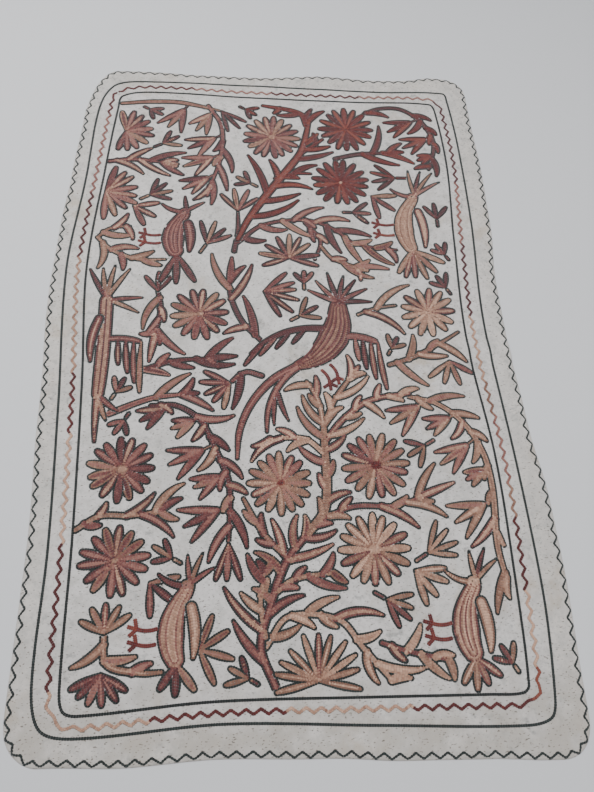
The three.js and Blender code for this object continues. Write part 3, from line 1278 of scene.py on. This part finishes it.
# %% [markdown]
# The stitches lie on the felt, so their height is read from it: rays dropped on a grid of places give
# the felt's level there, and each stitch takes the level under its own points.

# %% Measure the felt's level
LEVEL_CELL = 5.0
LEVEL_HALF_X = 640
LEVEL_HALF_Y = 1000
RAY_START = 0.1  # metres above the floor


def measure_levels():
    tree = BVHTree.FromObject(felt, bpy.context.evaluated_depsgraph_get())
    xs = np.arange(-LEVEL_HALF_X, LEVEL_HALF_X + 1, LEVEL_CELL)
    ys = np.arange(-LEVEL_HALF_Y, LEVEL_HALF_Y + 1, LEVEL_CELL)
    levels = np.zeros((len(ys), len(xs)), np.float32)
    down = Vector((0, 0, -1))
    for row, y in enumerate(ys):
        for column, x in enumerate(xs):
            hit = tree.ray_cast(Vector((x * MM, y * MM, RAY_START)), down)[0]
            levels[row, column] = hit.z / MM if hit else 0
    return xs, ys, levels


level_xs, level_ys, levels = measure_levels()


def level_at(x, y):
    """The felt's level in millimetres, between the measured places."""
    across = (x - level_xs[0]) / LEVEL_CELL
    up = (y - level_ys[0]) / LEVEL_CELL
    c, r = across.astype(int), up.astype(int)
    u, v = across - c, up - r
    low = levels[r, c] * (1 - u) + levels[r, c + 1] * u
    high = levels[r + 1, c] * (1 - u) + levels[r + 1, c + 1] * u
    return low * (1 - v) + high * v


print("the felt's top lies at", round(float(np.median(levels)), 2), "mm")

# %% [markdown]
# Each piece holds up to twelve thousand links of one family of yarn. Every link carries its own tint,
# and its own small place in the piece's UV map, so that baked colours don't run from one to the next.

# %% Place the links
LINKS_IN_PIECE = 12000
STITCH_SINK = 0.35  # how deep the yarn beds into the felt
LINK_HEIGHT = 1.5
MAP_MARGIN = 0.08  # bare rim of a link's square in the map
MAP_REACH = 2.4  # the links' widest spread aside, as a share of their width
stitch_pieces = []


def stitch_mesh(name, rows):
    rows = np.array(rows)
    x, y, heading, wide, long, tint = (column[:, None] for column in rows.T)
    lx, ly, lz = (link_points[None, :, axis] for axis in range(3))
    ahead, aside = lx * long, ly * wide
    px = x + ahead * np.cos(heading) - aside * np.sin(heading)
    py = y + ahead * np.sin(heading) + aside * np.cos(heading)
    rise = (lz + 0.5) * LINK_HEIGHT * wide / ROW_WIDTH - STITCH_SINK
    pz = level_at(px, py) + rise
    points = np.stack([px, py, pz], axis=2).reshape(-1, 3) * MM
    starts = np.arange(len(rows))[:, None, None] * len(link_points)
    faces = (link_faces[None] + starts).reshape(-1, 3)
    mesh = bpy.data.meshes.new(name)
    mesh.from_pydata(points.tolist(), [], faces.tolist())
    mesh.attributes.new("tint", "FLOAT", "POINT").data.foreach_set(
        "value", np.repeat(rows[:, 5], len(link_points)).astype(np.float32))
    # each point's height in its link, which the yarn's material uses for painted shadow near the felt
    crown = np.clip(lz[0] + 0.5, 0, 1)
    mesh.attributes.new("crown", "FLOAT", "POINT").data.foreach_set(
        "value", np.tile(crown, len(rows)).astype(np.float32))
    mesh.uv_layers.new(name="OFBake").data.foreach_set("uv", link_map(len(rows)).reshape(-1))
    mesh.shade_smooth()
    return mesh


def link_map(count):
    """A small square of the map for each link, with the faces that look down in its lower half."""
    side = math.ceil(math.sqrt(count))
    corner = np.stack([np.arange(count) % side, np.arange(count) // side], axis=1)
    spread = link_points[link_faces]
    u = spread[:, :, 0] / (2 * LINK_OVERLAP) + 0.5
    v = spread[:, :, 1] / MAP_REACH + 0.5
    v = v / 2 + np.where(link_down, 0, 0.5)[:, None]
    inside = np.stack([u, v], axis=2) * (1 - 2 * MAP_MARGIN) + MAP_MARGIN
    return ((corner[:, None, None] + inside[None]) / side).astype(np.float32)


for family, rows in links.items():
    rows.sort(key=lambda row: -row[1])
    parts = math.ceil(len(rows) / LINKS_IN_PIECE)
    share = math.ceil(len(rows) / parts)
    for number in range(parts):
        name = f"{family}_stitches_{number + 1}"
        piece = bpy.data.objects.new(name, stitch_mesh(name, rows[number * share:(number + 1) * share]))
        bpy.context.scene.collection.objects.link(piece)
        stitch_pieces.append((piece, family))
print(link_count, "links in", len(stitch_pieces), "pieces")

# %% [markdown]
# ## Materials
# Shader maths reads best as plain sums, so a small class wraps a socket, and its operators add Math
# nodes. Its node method adds any other node from a type, its settings and its sockets' values.

# %% Write shader maths as expressions


class Shade:
    """A value or colour in a material's node tree."""

    def __init__(self, tree, socket):
        self.tree = tree
        self.socket = socket

    @staticmethod
    def node(tree, kind, settings=None, output=0, **inputs):
        made = tree.nodes.new(kind)
        for name, value in (settings or {}).items():
            if name == "stops":
                set_stops(made.color_ramp, value)
            else:
                setattr(made, name, value)
        for name, value in inputs.items():
            socket = made.inputs[int(name[1:]) if name[1:].isdigit() else name.replace("_", " ")]
            if isinstance(value, Shade):
                tree.links.new(value.socket, socket)
            else:
                socket.default_value = value
        return Shade(tree, made.outputs[output])

    def maths(self, operation, *others):
        values = {f"i{number}": other for number, other in enumerate((self, *others))}
        return Shade.node(self.tree, "ShaderNodeMath", {"operation": operation}, **values)

    def __add__(self, other):
        return self.maths("ADD", other)

    def __mul__(self, other):
        return self.maths("MULTIPLY", other)

    def __sub__(self, other):
        return self.maths("SUBTRACT", other)

    def __rsub__(self, other):
        turned = self.maths("MULTIPLY", -1.0)
        return turned.maths("ADD", other)

    __radd__ = __add__
    __rmul__ = __mul__

    def between(self, low, high):
        """Goes from 0 to 1 as the value goes from low to high."""
        return Shade.node(self.tree, "ShaderNodeMapRange", {"interpolation_type": "SMOOTHSTEP"},
                          Value=self, From_Min=low, From_Max=high)


def set_stops(ramp, stops):
    for place, colour in stops[2:]:
        ramp.elements.new(place).color = (*colour, 1)
    for element, (place, colour) in zip(ramp.elements, sorted(stops)):
        element.position = place
        element.color = (*colour, 1)


def mixed(factor, first, second, blend="MIX"):
    """A colour between two others."""
    settings = {"data_type": "RGBA", "blend_type": blend}
    tree = next(value.tree for value in (factor, first, second) if isinstance(value, Shade))
    return Shade.node(tree, "ShaderNodeMix", settings, output=2, i0=factor, i6=first, i7=second)


def noise(place, scale, detail=3.0, roughness=0.55):
    return Shade.node(place.tree, "ShaderNodeTexNoise", Vector=place, Scale=scale, Detail=detail,
                      Roughness=roughness)


DULL = 0.25  # wool hardly reflects


def new_material(name, roughness, sheen):
    material = bpy.data.materials.new(name)
    material.use_nodes = True
    shader = material.node_tree.nodes["Principled BSDF"]
    shader.inputs["Roughness"].default_value = roughness
    shader.inputs["Sheen Weight"].default_value = sheen
    shader.inputs["Specular IOR Level"].default_value = DULL
    place = Shade.node(material.node_tree, "ShaderNodeTexCoord", output=3)
    return material, shader, place


def feed(shader, name, value):
    value.tree.links.new(value.socket, shader.inputs[name])


# %% [markdown]
# Undyed wool felt is a warm grey white. Close up it shows short fibres that lie every way, cloudy
# patches, dark specks of straw and hair, smudges and a few faint stains. It is warmer in the border, and
# the near end is darker and warmer in patches. Each of these is one layer of noise that mixes in a darker
# shade, so a table lists them, and a loop lays one over the other.

# %% Make the felt's material
WOOL = (0.615, 0.582, 0.562, 1)
WARM_WOOL = (0.59, 0.545, 0.495, 1)
WOOL_SHADE = (0.42, 0.40, 0.375, 1)
FIBRE_SHADE = (0.42, 0.39, 0.35, 1)
WARM_FROM = (0.49, 0.84)  # how far from the rug's middle the wool turns warm, across and along
WARM_WITHIN = 0.1
SPECK = (0.10, 0.08, 0.06, 1)
STAIN = (0.40, 0.33, 0.25, 1)
SMUDGE = (0.26, 0.26, 0.25, 1)
WARMTH = 0.8
NEAR_END_DARKER_FROM = (-0.74, -0.90)  # where the near end starts to turn darker, and where it is fully darker
FIBRE_SCALE = 420
FIBRE_TURNS = (0.4, 1.7, 2.8)  # the ways that the fibres lie
MOTTLE = (130, 3)  # scale and detail
FELT_LAYERS = [
    # name, strength, shade, then the scale, detail, start and full level of each noise
    ("cloudy patches", 0.45, WOOL_SHADE, (9, 4, 0.38, 0.68)),
    ("smaller patches", 0.6, WOOL_SHADE, (34, 4, 0.46, 0.72)),
    ("smudges", 0.8, SMUDGE, (60, 5, 0.54, 0.70), (7, 3, 0.40, 0.62)),
    ("fibres", 0.55, FIBRE_SHADE),
    ("mottle", 0.45, WOOL_SHADE),
    # the near end turns darker and warmer in patches
    ("trodden", 0.6, WOOL_SHADE),
    ("trodden", 0.3, STAIN),
    ("specks", 0.85, SPECK),
    ("stains", 0.6, STAIN, (4, 5, 0.50, 0.70), (26, 4, 0.42, 0.66)),
]


def stretched(place, turn, factor=6.0):
    """The same places turned and drawn out, for fibres that lie one way."""
    return Shade.node(place.tree, "ShaderNodeMapping", Vector=place, Rotation=(0, 0, turn),
                      Scale=(1, factor, 1))


def felt_material():
    material, shader, place = new_material("wool_felt", 0.95, 0.25)
    border = None
    for axis in (0, 1):
        away = Shade.node(place.tree, "ShaderNodeSeparateXYZ", output=axis, Vector=place).maths("ABSOLUTE")
        share = away.between(WARM_FROM[axis], WARM_FROM[axis] + WARM_WITHIN)
        border = share if border is None else border.maths("MAXIMUM", share)
    wool = mixed(border * WARMTH, WOOL, WARM_WOOL)
    fibres = noise(stretched(place, FIBRE_TURNS[0]), FIBRE_SCALE, 2)
    for turn in FIBRE_TURNS[1:]:
        fibres = fibres.maths("MINIMUM", noise(stretched(place, turn), FIBRE_SCALE, 2))
    mottle = noise(place, *MOTTLE)
    along = Shade.node(place.tree, "ShaderNodeSeparateXYZ", output=1, Vector=place)
    covers = {
        "fibres": 1 - fibres.between(0.28, 0.42),
        "mottle": mottle.between(0.44, 0.68),
        "trodden": along.between(*NEAR_END_DARKER_FROM) * noise(place, 18, 4).between(0.3, 0.65),
        "specks": noise(stretched(place, 2.2, 2.5), 150, 1).between(0.66, 0.70),
    }
    for name, strength, shade, *noises in FELT_LAYERS:
        cover = covers.get(name)
        for scale, detail, low, high in noises:
            patches = noise(place, scale, detail).between(low, high)
            cover = patches if cover is None else cover * patches
        wool = mixed(cover * strength, wool, shade)
    feed(shader, "Base Color", wool)
    feed(shader, "Roughness", 0.9 + fibres * 0.15)
    height = fibres * 0.7 + mottle * 0.5 + noise(place, 900, 2) * 0.3
    bump = Shade.node(material.node_tree, "ShaderNodeBump", Strength=0.55, Distance=0.0008, Height=height)
    feed(shader, "Normal", bump)
    return material


felt.data.materials.append(felt_material())
print("the felt is dyed", felt.data.materials[0].name)

# %% [markdown]
# Wool yarn is two plies twisted together. Each link takes its own shade from its tint, has painted shadow
# where it dives into the felt, and carries fine streaks from the plies.

# %% Make the yarns' materials
YARN_SHADES = {
    "dark_green": [(0.0, (0.006, 0.009, 0.008)), (1.0, (0.026, 0.038, 0.034))],
    "red": [(0.0, (0.075, 0.010, 0.010)), (1.0, (0.230, 0.058, 0.034)), (0.5, (0.145, 0.021, 0.018))],
    "rose": [(0.0, (0.078, 0.020, 0.022)), (1.0, (0.310, 0.140, 0.108)), (0.5, (0.170, 0.052, 0.047))],
    "tan": [(0.0, (0.195, 0.092, 0.062)), (1.0, (0.600, 0.370, 0.260)), (0.5, (0.380, 0.210, 0.140))],
}
# painted shadow: the yarn's colour is darkened where its strands dive into the felt
PAINTED_ROOT_SHADOW = 0.45  # how dark the yarn is where it dives into the felt
WANDER = 0.35  # how much a yarn's shade wanders over the rug, and how much its plies differ
PLY_CONTRAST = 0.5


def yarn_material(family):
    material, shader, place = new_material(family + "_yarn", 0.88, 0.3)
    tree = material.node_tree
    tint = Shade.node(tree, "ShaderNodeAttribute", {"attribute_name": "tint"}, output=2)
    crown = Shade.node(tree, "ShaderNodeAttribute", {"attribute_name": "crown"}, output=2)
    plies = noise(place, 1100, 2)
    wander = noise(place, 14, 2)
    shade = tint + (wander - 0.5) * WANDER + (plies - 0.5) * PLY_CONTRAST
    colour = Shade.node(tree, "ShaderNodeValToRGB", {"stops": YARN_SHADES[family]}, Fac=shade)
    # painted shadow, darkest at the strand's lowest points and gone by three quarters of its height
    painted_shadow_factor = crown.between(0.0, 0.75) * (1 - PAINTED_ROOT_SHADOW) + PAINTED_ROOT_SHADOW
    level = Shade.node(tree, "ShaderNodeCombineColor", i0=painted_shadow_factor, i1=painted_shadow_factor, i2=painted_shadow_factor)
    feed(shader, "Base Color", mixed(1.0, colour, level, "MULTIPLY"))
    feed(shader, "Roughness", 0.8 + plies * 0.2)
    bump = Shade.node(tree, "ShaderNodeBump", Strength=0.5, Distance=0.0004, Height=plies)
    feed(shader, "Normal", bump)
    return material


for piece, family in stitch_pieces:
    name = family + "_yarn"
    known = bpy.data.materials.get(name)
    piece.data.materials.append(known or yarn_material(family))
print("yarns:", sorted({family for piece, family in stitch_pieces}))

# %% [markdown]
# ## Floor and light
# A plain pale floor and three big soft lamps stand in for daylight in a room.

# %% Build the studio
FLOOR_SIZE = 12
FLOOR_COLOUR = (0.62, 0.62, 0.63, 1)
FLOOR_GAP = 0.2 * MM
LAMPS = [
    # name, place, size and strength in watts
    ("window", (-1.6, 1.2, 2.6), 2.4, 86),
    ("room", (1.8, -0.6, 2.8), 2.6, 43),
    ("ceiling", (0.0, 0.2, 3.4), 3.2, 62),
]
SKY = (0.80, 0.86, 0.95, 1)
SKY_STRENGTH = 0.35


def make_floor():
    bpy.ops.mesh.primitive_grid_add(x_subdivisions=8, y_subdivisions=8, size=FLOOR_SIZE,
                                    location=(0, 0, -FLOOR_GAP))
    floor = bpy.context.object
    floor.name = "studio_floor"
    bpy.ops.object.transform_apply(location=True, rotation=True, scale=True)
    material, shader, place = new_material("pale_floor", 0.8, 0.0)
    shader.inputs["Base Color"].default_value = FLOOR_COLOUR
    floor.data.materials.append(material)
    return floor


def make_lamp(name, place, size, watts):
    bpy.ops.object.light_add(type="AREA", location=place)
    lamp = bpy.context.object
    lamp.name = name + "_lamp"
    lamp.data.size = size
    lamp.data.energy = watts
    lamp.rotation_euler = (-Vector(place)).to_track_quat("-Z", "Y").to_euler()


for row in LAMPS:
    make_lamp(*row)
world = bpy.data.worlds.new("soft_sky")
bpy.context.scene.world = world
world.use_nodes = True
world.node_tree.nodes["Background"].inputs["Color"].default_value = SKY
world.node_tree.nodes["Background"].inputs["Strength"].default_value = SKY_STRENGTH
make_floor()
print(len(LAMPS), "lamps")

# %% [markdown]
# ## Fasten everything to the fixed model
# The felt stands for the fixed sheet, and the stitches lie on it. Nothing on a rug moves, so all ride on
# the one body.

# %% Fasten the felt and stitches
stitches = [piece for piece, family in stitch_pieces]
for piece in [felt] + stitches:
    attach(piece, "root")
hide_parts("felt_ground")
